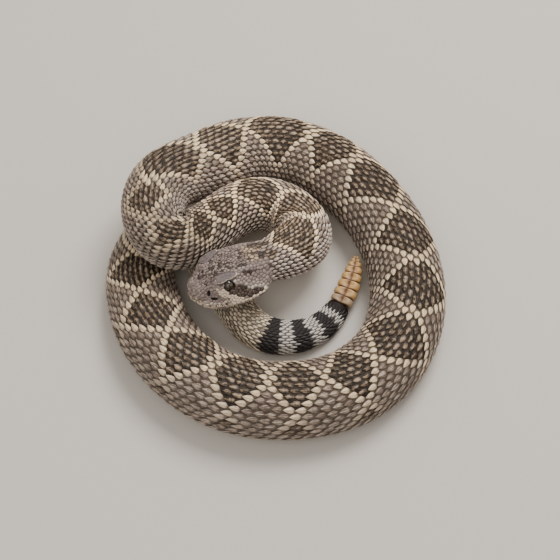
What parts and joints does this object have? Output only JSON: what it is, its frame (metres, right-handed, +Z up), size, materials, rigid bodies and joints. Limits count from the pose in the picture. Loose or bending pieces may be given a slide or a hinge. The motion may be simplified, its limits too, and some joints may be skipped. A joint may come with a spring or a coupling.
{
  "type": "coiled rattlesnake, life-size still model",
  "caption": "Life-size still model of a western diamondback rattlesnake lying coiled, head and black-banded tail on the inside of the coil.",
  "frame": {"origin": "on the floor, under the middle of the coil's bounding box", "axes": "+Z up; +X to the right and +Y away, seen from the side that the head's left eye looks to"},
  "size_m": [0.2382, 0.2622, 0.0727],
  "materials": {
    "head_skin": "dry matt scales, mauve grey finely speckled with black",
    "jaw_skin": "smooth cream lip scales, satin",
    "body_skin": "dry keeled scales, dark brown diamonds edged with cream on grey brown",
    "tail_skin": "dry keeled scales, khaki and tan",
    "banded_skin": "dry keeled scales, black and pale grey bands",
    "eye": "wet, glossy, upright slit pupil",
    "rattle": "dry straw-coloured horn, satin"
  },
  "bodies": {
    "root": {"head": "head_skin", "lower_jaw": "jaw_skin", "eye_left": "eye", "eye_right": "eye", "neck": "body_skin", "trunk_01": "body_skin", "trunk_02": "body_skin", "trunk_03": "body_skin", "trunk_04": "body_skin", "trunk_05": "body_skin", "trunk_06": "body_skin", "trunk_07": "body_skin", "trunk_08": "body_skin", "trunk_09": "body_skin", "trunk_10": "body_skin", "trunk_11": "body_skin", "trunk_12": "body_skin", "trunk_13": "body_skin", "trunk_14": "body_skin", "tail_base": "tail_skin", "tail_bands": "banded_skin", "rattle_1": "rattle", "rattle_2": "rattle", "rattle_3": "rattle", "rattle_4": "rattle", "rattle_5": "rattle", "rattle_6": "rattle", "rattle_7": "rattle", "rattle_8": "rattle"}
  },
  "joints": []
}
